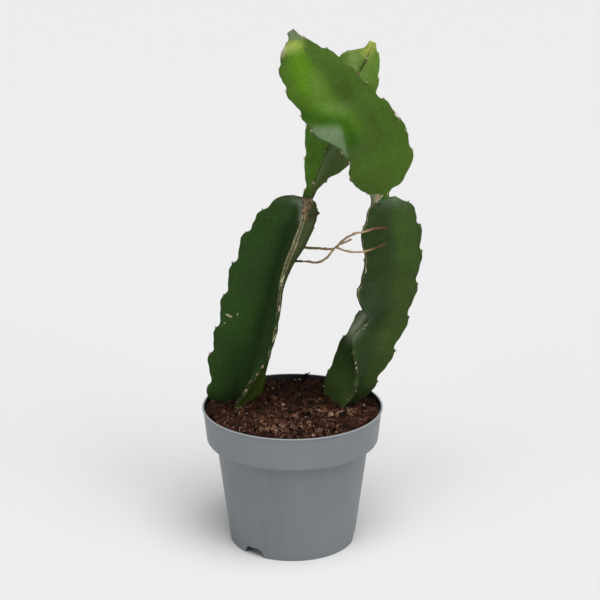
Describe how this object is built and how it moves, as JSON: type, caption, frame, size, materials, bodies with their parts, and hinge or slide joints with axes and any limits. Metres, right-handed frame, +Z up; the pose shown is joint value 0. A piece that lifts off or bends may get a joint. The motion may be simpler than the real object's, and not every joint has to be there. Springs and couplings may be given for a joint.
{
  "type": "potted dragon fruit cactus",
  "caption": "Young dragon fruit cactus: winged, wavy-edged spiny stems with fresh shoots and air roots, standing in soil in a tapered plastic nursery pot.",
  "frame": {"origin": "centre of the pot's base, on the surface the pot stands on", "axes": "+Z up along the pot's axis, -Y the front seen in the picture, +X to its right"},
  "size_m": [0.1463, 0.12, 0.3466],
  "materials": {
    "pot_plastic": "satin grey moulded plastic",
    "potting_soil": "matte crumbly peat with chips and white grains",
    "old_stem": "waxy dark green skin with a dry tan margin",
    "young_stem": "waxy fresh green skin",
    "air_root": "dry tan root"
  },
  "bodies": {
    "root": {"pot": "pot_plastic", "soil": "potting_soil", "stem_left": "old_stem", "stem_right": "old_stem", "shoot_left": "young_stem", "shoot_right": "young_stem", "aerial_roots": "air_root"}
  },
  "joints": []
}
